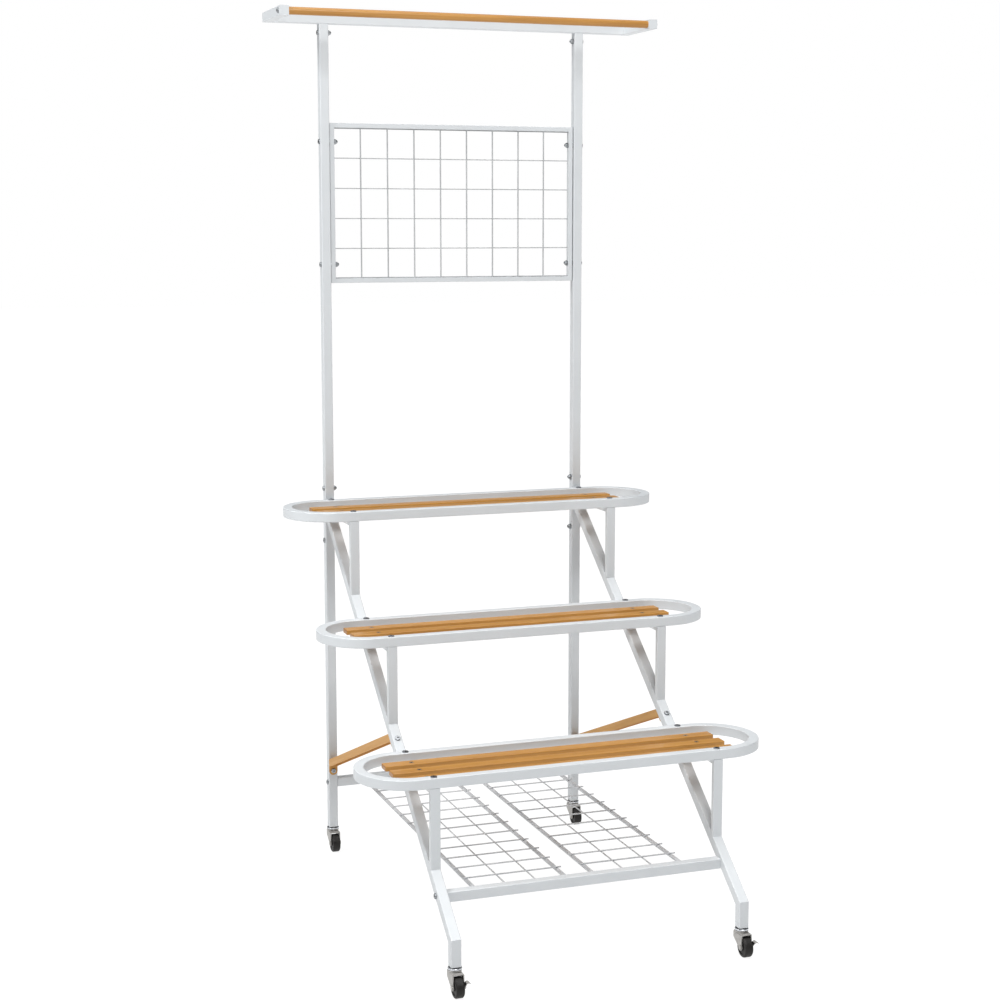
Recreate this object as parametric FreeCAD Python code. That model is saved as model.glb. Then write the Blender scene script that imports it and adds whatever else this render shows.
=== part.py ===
import FreeCAD, Part
import math
import os

# Plant stand with trellis: two tall posts carry a trellis and a hanger,
# and two sloping legs carry three stepped shelves and reach forward to the front casters.
# Millimetres, +Z up, front towards -Y, left towards -X.
# While it is built, the post axes stand at y = 0. The finished pieces are then moved so that
# the origin lies on the floor, under the middle of the whole stand.

# Frame tube
TUBE = 20.0
TUBE_WALL = 1.5
TUBE_EDGE = 1.8
FIT = 0.1
CLOSE = 0.01
OVERRUN = 40.0
SPAN = 4000.0

# Posts
POST_SPACING = 587.0
POST_MIDDLE_LENGTH = 70.0
POST_UPPER_LENGTH = 1024.0
SLEEVE_END_GAP = 2.0
SLEEVE_BOLT_OFFSET = 23.0
HANGER_BOLT_DROP = 18.0

# Shelves
SHELF_COUNT = 3
SHELF_OVERHANG = 127.5
SHELF_DEPTH = 203.0
SHELF_STEP_FORWARD = 275.0
SHELF_STEP_DOWN = 213.0
SHELF_POST_GAP = 3.0
RIM = 20.0
RIM_WALL = 1.5
RIM_EDGE = 1.8
SLAT_COUNT = 3
SLAT_WIDTH = 28.0
SLAT_THICKNESS = 10.0
SLAT_EDGE = 1.5
SLAT_SIDE_GAP = 15.5
SLAT_END_GAP = 71.0

# Shelf brackets, bent from flat tube
BRACKET_WIDTH = 20.0
BRACKET_THICKNESS = 10.0
BRACKET_WALL = 1.2
BRACKET_EDGE = 1.5

# Legs
FOOT_FORWARD = 121.5
KNEE_HEIGHT = 107.66
SEAM_AHEAD = 5.1

# Crossbars
CROSSBAR_TOP = 168.0
FRONT_BAR_DROP = 11.0
FRONT_BOLT_SHIFT = 3.5
PLUG_LENGTH = 25.0

# Mesh panels
PANEL_GAP = 57.0
PANEL_SIDE_GAP = 69.0
PANEL_SHIFT = -9.5
PANEL_ROD = 8.0
PANEL_WIRE = 3.0
PANEL_WELD = 0.4
PANEL_LONG_WIRES = 2
PANEL_CROSS_WIRES = 12
PANEL_CROSS_START = 42.0
PANEL_CROSS_END = 70.0
PANEL_POKE = 8.0

# Braces, bent from sheet
BRACE_WIDTH = 19.0
BRACE_HEIGHT = 16.0
BRACE_SHEET = 2.0
BRACE_POST_RISE = 36.4
BRACE_END_AHEAD = 1.7
BRACE_TAB_DROP = 9.2

# Hanger
HANGER_OVERHANG = 128.5
HANGER_REACH = 148.5
ROD = 16.0
ROD_BORE_SPARE = 4.0

# Trellis
TRELLIS_TUBE = 10.0
TRELLIS_WALL = 1.0
TRELLIS_EDGE = 0.8
TRELLIS_DROP = 207.0
TRELLIS_HEIGHT = 343.0
TRELLIS_BOLT_INSET = 40.0
TRELLIS_GAP = 1.6
TRELLIS_SPACER = 12.0
TRELLIS_UPRIGHT_WIRE = 3.0
TRELLIS_LEVEL_WIRE = 2.2
TRELLIS_WELD = 0.5
TRELLIS_END_GAP = 59.2
TRELLIS_UPRIGHTS = 8
TRELLIS_LEVELS = 4

# Bolts, nuts and screws
BOLT = 6.0
BOLT_PLAY = 0.1
BOLT_HEAD = 11.0
BOLT_HEAD_HEIGHT = 3.0
BOLT_HEAD_EDGE = 1.4
BOLT_SOCKET = 4.6
BOLT_SOCKET_DEPTH = 1.5
NUT_FLATS = 10.0
NUT_BASE = 4.0
NUT_DOME = 4.6
NUT_BORE_DEPTH = 6.0
NUT_END_GAP = 1.0
END_BOLT_BITE = 20.0
RIM_BOLT = 5.0
RIM_BOLT_HEAD = 12.5
RIM_BOLT_HEAD_HEIGHT = 2.0
RIM_BOLT_HEAD_EDGE = 0.8
RIM_BOLT_SOCKET = 4.6
RIM_BOLT_SOCKET_DEPTH = 1.0
RIM_BOLT_BITE = 4.0
SLAT_SCREW = 4.0
SLAT_SCREW_HEAD = 9.0
SLAT_SCREW_SINK = 0.1
SLAT_SCREW_SOCKET = 3.0
SLAT_SCREW_SOCKET_DEPTH = 1.2
SLAT_SCREW_BITE = 6.0

# Casters
WHEEL = 40.0
WHEEL_WIDTH = 17.0
WHEEL_EDGE = 3.5
WHEEL_BAND = 6.0
WHEEL_RECESS = 1.2
WHEEL_HUB_RADIUS = 6.0
WHEEL_SIDE_PLAY = 0.8
WHEEL_HEADROOM = 4.0
CASTER_TRAIL = 17.0
FORK_SHEET = 2.0
FORK_BEND = 2.5
FORK_BACK = 12.5
FORK_LIP = 4.5
FORK_SHOULDER = 13.0
FORK_BOSS_RADIUS = 6.0
RACE_RADIUS = 13.0
RACE_HEIGHT = 3.2
RACE_EDGE = 1.0
RACE_GAP = 0.3
TOP_RACE_RADIUS = 13.5
TOP_RACE_HEIGHT = 3.5
TOP_RACE_EDGE = 1.0
STEM = 8.0
STEM_LENGTH = 20.0
STEM_PLAY = 0.08
STEM_RIVET_RADIUS = 5.5
STEM_RIVET_HEIGHT = 1.6
AXLE = 6.0
AXLE_PLAY = 0.08
AXLE_HEAD_RADIUS = 4.5
AXLE_HEAD_HEIGHT = 1.5
INSERT_LENGTH = 22.0
INSERT_COLLAR = 2.0
INSERT_COLLAR_RADIUS = 9.6
BRAKE_SHEET = 1.5
BRAKE_GAP = 0.3
BRAKE_BOSS_RADIUS = 5.0
BRAKE_ARM_WIDTH = 8.0
BRAKE_ARM_LENGTH = 18.0
BRAKE_ARM_ANGLE = 45.0
BRAKE_TAB_DEPTH = 12.0
BRAKE_TAB_WIDTH = 6.0
BRAKE_TAB_CROWN = 1.0
BRAKE_TAB_DROP = 1.2

V = FreeCAD.Vector
UP = V(0, 0, 1)
ACROSS = V(1, 0, 0)
BACK = V(0, 1, 0)
SIDES = {"left": -1, "right": 1}

# Widths and lengths worked out from the sizes above
POST_X = POST_SPACING / 2
HALF_TUBE = TUBE / 2
BORE = TUBE - 2 * TUBE_WALL
SLEEVE = BORE - 2 * FIT
SLEEVE_LENGTH = POST_MIDDLE_LENGTH - SLEEVE_END_GAP
SHELF_LENGTH = POST_SPACING + 2 * SHELF_OVERHANG
SLAT_LENGTH = SHELF_LENGTH - 2 * SLAT_END_GAP
SLAT_PITCH = (SHELF_DEPTH - 2 * RIM - 2 * SLAT_SIDE_GAP - SLAT_WIDTH) / (SLAT_COUNT - 1)
HANGER_WIDTH = POST_SPACING + 2 * HANGER_OVERHANG
PANEL_WIDTH = (POST_SPACING - TUBE - PANEL_GAP) / 2 - PANEL_SIDE_GAP
PANEL_PITCH = PANEL_WIDTH + PANEL_GAP
ROD_BORE_DEPTH = END_BOLT_BITE + ROD_BORE_SPARE
NUT_THREAD = NUT_BORE_DEPTH - NUT_END_GAP
FRAME_BOLT_SIZES = (BOLT, BOLT_HEAD, BOLT_HEAD_HEIGHT, BOLT_HEAD_EDGE, BOLT_SOCKET, BOLT_SOCKET_DEPTH)
RIM_BOLT_SIZES = (RIM_BOLT, RIM_BOLT_HEAD, RIM_BOLT_HEAD_HEIGHT, RIM_BOLT_HEAD_EDGE,
                  RIM_BOLT_SOCKET, RIM_BOLT_SOCKET_DEPTH)

# The line of the legs: it passes the knee of the foot and rises by the shelves' step
SHELF_BACK = -HALF_TUBE - SHELF_POST_GAP
LOWEST_FRONT = SHELF_BACK - SHELF_DEPTH - (SHELF_COUNT - 1) * SHELF_STEP_FORWARD
LEG_SLOPE = SHELF_STEP_DOWN / SHELF_STEP_FORWARD
LEG_ANGLE = math.atan(LEG_SLOPE)
LEG_DOWN = V(0, -math.cos(LEG_ANGLE), -math.sin(LEG_ANGLE))
LEG_OUT = V(0, -math.sin(LEG_ANGLE), math.cos(LEG_ANGLE))
LEG_AXIS_DROP = HALF_TUBE / math.cos(LEG_ANGLE)
KNEE = V(0, LOWEST_FRONT - FOOT_FORWARD, KNEE_HEIGHT)
FOOT_REACH = -KNEE.y - HALF_TUBE
LEG_REFERENCE = V(0, SHELF_BACK, KNEE.z + (SHELF_BACK - KNEE.y) * LEG_SLOPE)

# Heights of the posts, the hanger and the trellis
POST_SPLIT_HIGH = LEG_REFERENCE.z + RIM
POST_SPLIT_LOW = POST_SPLIT_HIGH - POST_MIDDLE_LENGTH
POST_TOP = POST_SPLIT_HIGH + POST_UPPER_LENGTH
SLEEVE_BOLT_LOW = POST_SPLIT_LOW - SLEEVE_BOLT_OFFSET
SLEEVE_BOLT_HIGH = POST_SPLIT_HIGH + SLEEVE_BOLT_OFFSET
HANGER_BOLT_Z = POST_TOP - HANGER_BOLT_DROP
HANGER_ARM_X = HANGER_WIDTH / 2 - HALF_TUBE
ROD_Y = -HANGER_REACH + HALF_TUBE
ROD_Z = POST_TOP + HALF_TUBE
TRELLIS_TOP = POST_TOP - TRELLIS_DROP
TRELLIS_BOTTOM = TRELLIS_TOP - TRELLIS_HEIGHT
TRELLIS_BOLT_HEIGHTS = (TRELLIS_BOTTOM + TRELLIS_BOLT_INSET, TRELLIS_TOP - TRELLIS_BOLT_INSET)

# The front crossbar hangs below the leg's axis, and the leg's seam lies just ahead of its bolt
CROSSBAR_Z = CROSSBAR_TOP - HALF_TUBE
FRONT_BAR_RISE = CROSSBAR_Z + FRONT_BAR_DROP + LEG_AXIS_DROP - KNEE.z
FRONT_BAR_Y = KNEE.y + FRONT_BAR_RISE / LEG_SLOPE
FRONT_BOLT = V(0, FRONT_BAR_Y - FRONT_BOLT_SHIFT, CROSSBAR_Z + FRONT_BOLT_SHIFT)
LEG_AXIS = KNEE - LEG_OUT * HALF_TUBE
LEG_SEAM = LEG_AXIS + LEG_DOWN * ((FRONT_BOLT - LEG_AXIS).dot(LEG_DOWN) + SEAM_AHEAD)

# The brace runs from the post's front face to the leg's under face, below the middle shelf's front
BRACE_START = V(0, -HALF_TUBE, CROSSBAR_TOP + BRACE_POST_RISE)
BRACE_END_Y = SHELF_BACK - SHELF_DEPTH - SHELF_STEP_FORWARD - BRACE_END_AHEAD
BRACE_END_Z = KNEE.z + (BRACE_END_Y - KNEE.y) * LEG_SLOPE - 2 * LEG_AXIS_DROP
BRACE_ANGLE = math.atan2(BRACE_END_Z - BRACE_START.z, BRACE_START.y - BRACE_END_Y)
BRACE_RISE = V(0, -math.cos(BRACE_ANGLE), math.sin(BRACE_ANGLE))
BRACE_TOP_SIDE = V(0, math.sin(BRACE_ANGLE), math.cos(BRACE_ANGLE))

# The casters, from the wheel up to the tube's end
FORK_BRIDGE_BOTTOM = WHEEL + WHEEL_HEADROOM
FORK_BRIDGE_TOP = FORK_BRIDGE_BOTTOM + FORK_SHEET
RACE_TOP = FORK_BRIDGE_TOP + RACE_HEIGHT
TOP_RACE_BOTTOM = RACE_TOP + RACE_GAP
TOP_RACE_TOP = TOP_RACE_BOTTOM + TOP_RACE_HEIGHT
FOOT_BOTTOM = TOP_RACE_TOP + INSERT_COLLAR
FORK_INNER = WHEEL_WIDTH / 2 + WHEEL_SIDE_PLAY
FORK_OUTER = FORK_INNER + FORK_SHEET

# The middle of the whole depth
REAR_EXTENT = HALF_TUBE + NUT_BASE + NUT_DOME
WHEEL_FRONT = FOOT_REACH + CASTER_TRAIL + WHEEL / 2
DEPTH_SHIFT = (WHEEL_FRONT - REAR_EXTENT) / 2


def box(x0, x1, y0, y1, z0, z1):
    """Block between the given faces."""
    return Part.makeBox(x1 - x0, y1 - y0, z1 - z0, V(x0, y0, z0))


def cylinder(radius, start, direction, length):
    """Round bar from a start point."""
    return Part.makeCylinder(radius, length, start, direction)


def joined(shapes):
    """One shape from pieces that touch or overlap."""
    result = shapes[0].fuse(shapes[1:])
    return result.removeSplitter()


def turned(shape, start, direction):
    """Shape built upwards from the origin, moved to start and turned to point along direction."""
    shape.Placement = FreeCAD.Placement(start, FreeCAD.Rotation(UP, direction))
    return shape


def beyond(point, normal):
    """Everything past a plane, on the side its normal points to."""
    block = Part.makeBox(SPAN, SPAN, SPAN, V(-SPAN / 2, -SPAN / 2, 0))
    return turned(block, point, normal)


def rounded_bar(width_x, width_y, length, edge):
    """Upright bar about the Z axis with rounded long edges."""
    bar = box(-width_x / 2, width_x / 2, -width_y / 2, width_y / 2, 0, length)
    upright = [e for e in bar.Edges if (e.Vertexes[1].Point - e.Vertexes[0].Point).cross(UP).Length < CLOSE]
    return bar.makeFillet(edge, upright)


def tube(width, length, wall, edge):
    """Upright square tube about the Z axis, open at both ends."""
    inner = width - 2 * wall
    bore = box(-inner / 2, inner / 2, -inner / 2, inner / 2, -OVERRUN, length + OVERRUN)
    return rounded_bar(width, width, length, edge).cut(bore)


def frame_tube(start, direction, length):
    """Piece of the main frame tube."""
    return turned(tube(TUBE, length, TUBE_WALL, TUBE_EDGE), start, direction)


def drilled(shape, places, direction, diameter, depth):
    """Shape with a round hole at each place, from half the depth before it to half after it."""
    for place in places:
        start = place - direction * (depth / 2)
        shape = shape.cut(cylinder(diameter / 2 + BOLT_PLAY, start, direction, depth))
    return shape


def leg_face(y):
    """Point on the upper face of the leg line at a depth y."""
    along = (LEG_REFERENCE.y - y) / math.cos(LEG_ANGLE)
    return LEG_REFERENCE + LEG_DOWN * along


def leg_face_y(z):
    """Depth at which the upper face of the leg line is at a height z."""
    return LEG_REFERENCE.y - (LEG_REFERENCE.z - z) / math.tan(LEG_ANGLE)


def shelf_front(index):
    """Front face of a shelf, counted from the top one."""
    return LEG_REFERENCE.y - SHELF_DEPTH - index * SHELF_STEP_FORWARD


def shelf_seat(index):
    """Height of the bracket top that a shelf's rim and slats rest on."""
    return LEG_REFERENCE.z - index * SHELF_STEP_DOWN


def slat_places(index):
    """Depths of a shelf's slat centre lines."""
    middle = shelf_front(index) + SHELF_DEPTH / 2
    return [middle + (k - (SLAT_COUNT - 1) / 2) * SLAT_PITCH for k in range(SLAT_COUNT)]


def rim_places(index):
    """Depths of the centre lines of a rim's front and rear runs."""
    front = shelf_front(index)
    return [front + RIM / 2, front + SHELF_DEPTH - RIM / 2]


def brace_leg_corner():
    """Point where the brace's lower side meets the leg's under face."""
    low = BRACE_START - BRACE_TOP_SIDE * (BRACE_HEIGHT / 2)
    face = LEG_REFERENCE - LEG_OUT * TUBE
    along = (face - low).dot(LEG_OUT) / BRACE_RISE.dot(LEG_OUT)
    return low + BRACE_RISE * along


def brace_post_bolt():
    """Point of the brace's lower bolt on the post's front face."""
    drop = BRACE_HEIGHT / 2 / math.cos(BRACE_ANGLE) + BRACE_TAB_DROP
    return BRACE_START - UP * drop


def brace_leg_bolt():
    """Point of the brace's upper bolt on the leg's under face."""
    return brace_leg_corner() + LEG_DOWN * BRACE_TAB_DROP


def post_lower(side):
    """Bottom post length, from the caster to the lower joint."""
    x = side * POST_X
    post = frame_tube(V(x, 0, FOOT_BOTTOM), UP, POST_SPLIT_LOW - FOOT_BOTTOM)
    post = drilled(post, [V(x, 0, CROSSBAR_Z), V(x, 0, SLEEVE_BOLT_LOW)], ACROSS, BOLT, TUBE + OVERRUN)
    tab = brace_post_bolt()
    return drilled(post, [V(x, 0, tab.z)], BACK, BOLT, TUBE + OVERRUN)


def post_middle(side):
    """Short post length that the leg is welded to."""
    return frame_tube(V(side * POST_X, 0, POST_SPLIT_LOW), UP, POST_SPLIT_HIGH - POST_SPLIT_LOW)


def post_upper(side):
    """Top post length, which carries the trellis and the hanger."""
    x = side * POST_X
    post = frame_tube(V(x, 0, POST_SPLIT_HIGH), UP, POST_TOP - POST_SPLIT_HIGH)
    heights = [SLEEVE_BOLT_HIGH, HANGER_BOLT_Z]
    heights.extend(TRELLIS_BOLT_HEIGHTS)
    return drilled(post, [V(x, 0, z) for z in heights], ACROSS, BOLT, TUBE + OVERRUN)


def sleeve(start, direction, bolts):
    """Inner tube that bridges a joint, drilled for its bolts."""
    piece = turned(tube(SLEEVE, SLEEVE_LENGTH, TUBE_WALL, TUBE_EDGE), start, direction)
    return drilled(piece, bolts, ACROSS, BOLT, TUBE + OVERRUN)


def sleeves():
    """All inner tubes: two in each post, one under the hanger and one in the leg, each side."""
    pieces = []
    for side in SIDES.values():
        x = side * POST_X
        low = V(x, 0, POST_SPLIT_LOW - SLEEVE_LENGTH / 2)
        high = V(x, 0, POST_SPLIT_HIGH - SLEEVE_LENGTH / 2)
        top = V(x, 0, POST_TOP - SLEEVE_LENGTH)
        pieces.append(sleeve(low, UP, [V(x, 0, SLEEVE_BOLT_LOW)]))
        pieces.append(sleeve(high, UP, [V(x, 0, SLEEVE_BOLT_HIGH)]))
        pieces.append(sleeve(top, UP, [V(x, 0, HANGER_BOLT_Z)]))
        start = LEG_SEAM + ACROSS * x - LEG_DOWN * (SLEEVE_LENGTH / 2)
        pieces.append(sleeve(start, LEG_DOWN, [FRONT_BOLT + ACROSS * x]))
    return Part.makeCompound(pieces)


def leg(side):
    """Long sloping leg, from the post down to the seam near the front crossbar."""
    x = side * POST_X
    top = leg_face(-HALF_TUBE) - LEG_OUT * HALF_TUBE - LEG_DOWN * TUBE + ACROSS * x
    seam = LEG_SEAM + ACROSS * x
    piece = frame_tube(top, LEG_DOWN, top.distanceToPoint(seam))
    piece = piece.cut(beyond(V(x, -HALF_TUBE, top.z), BACK))
    piece = drilled(piece, [FRONT_BOLT + ACROSS * x], ACROSS, BOLT, TUBE + OVERRUN)
    return drilled(piece, [brace_leg_bolt() + ACROSS * x], LEG_OUT, BOLT, 2 * TUBE + OVERRUN)


def leg_end(side):
    """End of the sloping leg and its upright foot, joined by a mitre."""
    x = side * POST_X
    seam = LEG_SEAM + ACROSS * x
    knee = KNEE + ACROSS * x
    mitre = LEG_DOWN - UP
    slope = frame_tube(seam, LEG_DOWN, seam.distanceToPoint(knee) + TUBE)
    slope = slope.cut(beyond(knee, mitre))
    foot = frame_tube(V(x, -FOOT_REACH, FOOT_BOTTOM), UP, knee.z - FOOT_BOTTOM + TUBE)
    foot = foot.cut(beyond(knee, mitre * -1))
    return joined([slope, foot])


def bracket_outline(x, width, points):
    """Plate between two sides, cut to an outline of depths and heights."""
    corners = [V(x - width / 2, y, z) for y, z in points]
    face = Part.Face(Part.makePolygon(corners + [corners[0]]))
    return face.extrude(ACROSS * width)


def bracket(side, index):
    """Bent flat tube: an upright from the leg to the shelf front, and an arm back to the leg."""
    x = side * POST_X
    front = shelf_front(index)
    seat = shelf_seat(index)
    back = front + BRACKET_THICKNESS
    under = seat - BRACKET_THICKNESS
    outer = bracket_outline(x, BRACKET_WIDTH, [
        (front, seat), (front, leg_face(front).z), (back, leg_face(back).z),
        (back, under), (leg_face_y(under), under), (leg_face_y(seat), seat)])
    side_faces = (x - BRACKET_WIDTH / 2, x + BRACKET_WIDTH / 2)
    long_edges = []
    for edge in outer.Edges:
        ends = [v.Point for v in edge.Vertexes]
        on_side = any(all(abs(p.x - face) < CLOSE for p in ends) for face in side_faces)
        on_leg = all(abs((p - LEG_REFERENCE).dot(LEG_OUT)) < CLOSE for p in ends)
        if on_side and not on_leg:
            long_edges.append(edge)
    outer = outer.makeFillet(BRACKET_EDGE, long_edges)
    inner_front = front + BRACKET_WALL
    inner_back = back - BRACKET_WALL
    inner_top = seat - BRACKET_WALL
    inner_under = under + BRACKET_WALL
    foot_z = leg_face(front).z - OVERRUN
    tail_y = leg_face_y(seat) + OVERRUN
    bore = bracket_outline(x, BRACKET_WIDTH - 2 * BRACKET_WALL, [
        (inner_front, inner_top), (inner_front, foot_z), (inner_back, foot_z),
        (inner_back, inner_under), (tail_y, inner_under), (tail_y, inner_top)])
    piece = outer.cut(bore)
    rim_holes = [V(x, y, seat) for y in rim_places(index)]
    slat_holes = [V(x, y, seat) for y in slat_places(index)]
    piece = drilled(piece, rim_holes, UP, RIM_BOLT, BRACKET_THICKNESS)
    return drilled(piece, slat_holes, UP, SLAT_SCREW, BRACKET_THICKNESS)


def stadium(index, inset, z0, z1):
    """Block with straight sides and round ends, set in from a shelf's outside."""
    radius = SHELF_DEPTH / 2 - inset
    straight = (SHELF_LENGTH - SHELF_DEPTH) / 2
    end = straight + radius
    middle = shelf_front(index) + SHELF_DEPTH / 2
    front = middle - radius
    back = middle + radius
    edges = [
        Part.makeLine(V(-straight, front, z0), V(straight, front, z0)),
        Part.Arc(V(straight, front, z0), V(end, middle, z0), V(straight, back, z0)).toShape(),
        Part.makeLine(V(straight, back, z0), V(-straight, back, z0)),
        Part.Arc(V(-straight, back, z0), V(-end, middle, z0), V(-straight, front, z0)).toShape()]
    return Part.Face(Part.Wire(edges)).extrude(UP * (z1 - z0))


def rim(index):
    """Shelf rim, a hollow square tube bent to a stadium shape."""
    z0 = shelf_seat(index)
    z1 = z0 + RIM
    ring = stadium(index, 0, z0, z1).cut(stadium(index, RIM, z0, z1))
    level = [e for e in ring.Edges if abs(e.Vertexes[0].Z - e.Vertexes[-1].Z) < CLOSE]
    ring = ring.makeFillet(RIM_EDGE, level)
    low = z0 + RIM_WALL
    high = z1 - RIM_WALL
    hollow = stadium(index, RIM_WALL, low, high).cut(stadium(index, RIM - RIM_WALL, low, high))
    ring = ring.cut(hollow)
    places = [V(s * POST_X, y, z0 + RIM / 2) for s in SIDES.values() for y in rim_places(index)]
    return drilled(ring, places, UP, RIM_BOLT, RIM + OVERRUN)


def screw_top(index, side, y):
    """Middle of a slat screw's head, which lies a little below the slat's top."""
    return V(side * POST_X, y, shelf_seat(index) + SLAT_THICKNESS - SLAT_SCREW_SINK)


def screw_cone(top, play):
    """Countersunk head under a point, widened by a play."""
    depth = (SLAT_SCREW_HEAD - SLAT_SCREW) / 2
    return Part.makeCone(SLAT_SCREW_HEAD / 2 + play, SLAT_SCREW / 2 + play, depth, top, UP * -1)


def screw_seat(top):
    """Hole through a slat for a countersunk screw."""
    shank = cylinder(SLAT_SCREW / 2 + BOLT_PLAY, top, UP * -1, SLAT_THICKNESS + OVERRUN)
    mouth = cylinder(SLAT_SCREW_HEAD / 2 + BOLT_PLAY, top, UP, OVERRUN)
    return joined([shank, screw_cone(top, BOLT_PLAY), mouth])


def slats(index):
    """The wooden slats of a shelf."""
    z0 = shelf_seat(index)
    pieces = []
    for y in slat_places(index):
        front = y - SLAT_WIDTH / 2
        slat = box(-SLAT_LENGTH / 2, SLAT_LENGTH / 2, front, front + SLAT_WIDTH, z0, z0 + SLAT_THICKNESS)
        slat = slat.makeFillet(SLAT_EDGE, slat.Edges)
        seats = [screw_seat(screw_top(index, side, y)) for side in SIDES.values()]
        pieces.append(slat.cut(seats))
    return Part.makeCompound(pieces)


def closed_bar(start, direction, length):
    """Frame tube closed at both ends."""
    bore = box(-BORE / 2, BORE / 2, -BORE / 2, BORE / 2, TUBE_WALL, length - TUBE_WALL)
    bar = rounded_bar(TUBE, TUBE, length, TUBE_EDGE).cut(bore)
    return turned(bar, start, direction)


def hanger_arm(side):
    """Side arm of the hanger, closed at both ends."""
    x = side * HANGER_ARM_X
    arm = closed_bar(V(x, HALF_TUBE, ROD_Z), BACK * -1, HANGER_REACH + HALF_TUBE)
    return drilled(arm, [V(x, ROD_Y, ROD_Z)], ACROSS, BOLT, TUBE + OVERRUN)


def hanger_back_bar():
    """Bar across the post tops, between the hanger arms."""
    length = HANGER_WIDTH - 2 * TUBE
    return frame_tube(V(-length / 2, 0, ROD_Z), ACROSS, length)


def hanger_rod():
    """Round hanging rod between the front ends of the hanger arms."""
    length = HANGER_WIDTH - 2 * TUBE
    rod = cylinder(ROD / 2, V(-length / 2, ROD_Y, ROD_Z), ACROSS, length)
    ends = [V(s * length / 2, ROD_Y, ROD_Z) for s in SIDES.values()]
    return drilled(rod, ends, ACROSS, BOLT, 2 * ROD_BORE_DEPTH)


def trellis_x():
    """Outer side of the trellis frame, a spacer away from the posts."""
    return POST_X - HALF_TUBE - TRELLIS_GAP


def trellis_stile(side):
    """Upright of the trellis frame, mitred at both ends."""
    outside = side * trellis_x()
    x = outside - side * TRELLIS_TUBE / 2
    stile = tube(TRELLIS_TUBE, TRELLIS_HEIGHT, TRELLIS_WALL, TRELLIS_EDGE)
    stile = turned(stile, V(x, 0, TRELLIS_BOTTOM), UP)
    stile = stile.cut(beyond(V(outside, 0, TRELLIS_TOP), UP - ACROSS * side))
    stile = stile.cut(beyond(V(outside, 0, TRELLIS_BOTTOM), UP * -1 - ACROSS * side))
    return drilled(stile, [V(x, 0, z) for z in TRELLIS_BOLT_HEIGHTS], ACROSS, BOLT, TRELLIS_TUBE + OVERRUN)


def trellis_rail(upper):
    """Level bar of the trellis frame, mitred at both ends."""
    edge_z = TRELLIS_TOP if upper else TRELLIS_BOTTOM
    outwards = UP if upper else UP * -1
    centre_z = edge_z - outwards.z * TRELLIS_TUBE / 2
    start = V(-trellis_x(), 0, centre_z)
    rail = turned(tube(TRELLIS_TUBE, 2 * trellis_x(), TRELLIS_WALL, TRELLIS_EDGE), start, ACROSS)
    for side in SIDES.values():
        rail = rail.cut(beyond(V(side * trellis_x(), 0, edge_z), ACROSS * side - outwards))
    return rail


def trellis_grid():
    """Welded wires that fill the trellis frame, with a level wire along each rail."""
    half_span = trellis_x() - TRELLIS_TUBE
    low = TRELLIS_BOTTOM + TRELLIS_TUBE
    high = TRELLIS_TOP - TRELLIS_TUBE
    upright_y = -(TRELLIS_LEVEL_WIRE - TRELLIS_WELD) / 2
    level_y = (TRELLIS_UPRIGHT_WIRE - TRELLIS_WELD) / 2
    pitch = 2 * (half_span - TRELLIS_END_GAP) / (TRELLIS_UPRIGHTS - 1)
    wires = []
    for k in range(TRELLIS_UPRIGHTS):
        x = -half_span + TRELLIS_END_GAP + k * pitch
        wires.append(cylinder(TRELLIS_UPRIGHT_WIRE / 2, V(x, upright_y, low), UP, high - low))
    heights = [low + (high - low) * k / (TRELLIS_LEVELS + 1) for k in range(1, TRELLIS_LEVELS + 1)]
    heights.extend((low + TRELLIS_LEVEL_WIRE / 2, high - TRELLIS_LEVEL_WIRE / 2))
    for z in heights:
        wires.append(cylinder(TRELLIS_LEVEL_WIRE / 2, V(-half_span, level_y, z), ACROSS, 2 * half_span))
    return joined(wires)


def trellis_spacers():
    """Washers on the trellis bolts, between the posts and the stiles."""
    pieces = []
    for side in SIDES.values():
        for z in TRELLIS_BOLT_HEIGHTS:
            start = V(side * (POST_X - HALF_TUBE), 0, z)
            washer = cylinder(TRELLIS_SPACER / 2, start, ACROSS * -side, TRELLIS_GAP)
            pieces.append(drilled(washer, [start], ACROSS, BOLT, 2 * TRELLIS_GAP + OVERRUN))
    return Part.makeCompound(pieces)


def panel_rods(side):
    """Places across the stand of a mesh panel's two edge rods."""
    middle = PANEL_SHIFT + side * PANEL_PITCH / 2
    return [middle - PANEL_WIDTH / 2, middle + PANEL_WIDTH / 2]


def panel_ends():
    """Depths of the crossbar faces that the mesh panels run between."""
    return FRONT_BAR_Y + HALF_TUBE, -HALF_TUBE


def mesh_panel(side):
    """Mesh panel: two edge rods, thin wires along it, and wires across that lie on top."""
    front, back = panel_ends()
    first, last = panel_rods(side)
    rod_z = CROSSBAR_TOP - PANEL_ROD / 2
    wire_z = CROSSBAR_TOP - PANEL_WIRE / 2
    cross_z = CROSSBAR_TOP + PANEL_WIRE / 2 - PANEL_WELD
    cross_pitch = (back - front - PANEL_CROSS_START - PANEL_CROSS_END) / (PANEL_CROSS_WIRES - 1)
    pieces = []
    for x in (first, last):
        pieces.append(cylinder(PANEL_ROD / 2, V(x, front, rod_z), BACK, back - front))
    for k in range(1, PANEL_LONG_WIRES + 1):
        x = first + PANEL_WIDTH * k / (PANEL_LONG_WIRES + 1)
        pieces.append(cylinder(PANEL_WIRE / 2, V(x, front, wire_z), BACK, back - front))
    for k in range(PANEL_CROSS_WIRES):
        y = front + PANEL_CROSS_START + k * cross_pitch
        start = V(first - PANEL_POKE, y, cross_z)
        pieces.append(cylinder(PANEL_WIRE / 2, start, ACROSS, PANEL_WIDTH + 2 * PANEL_POKE))
    return joined(pieces)


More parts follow.
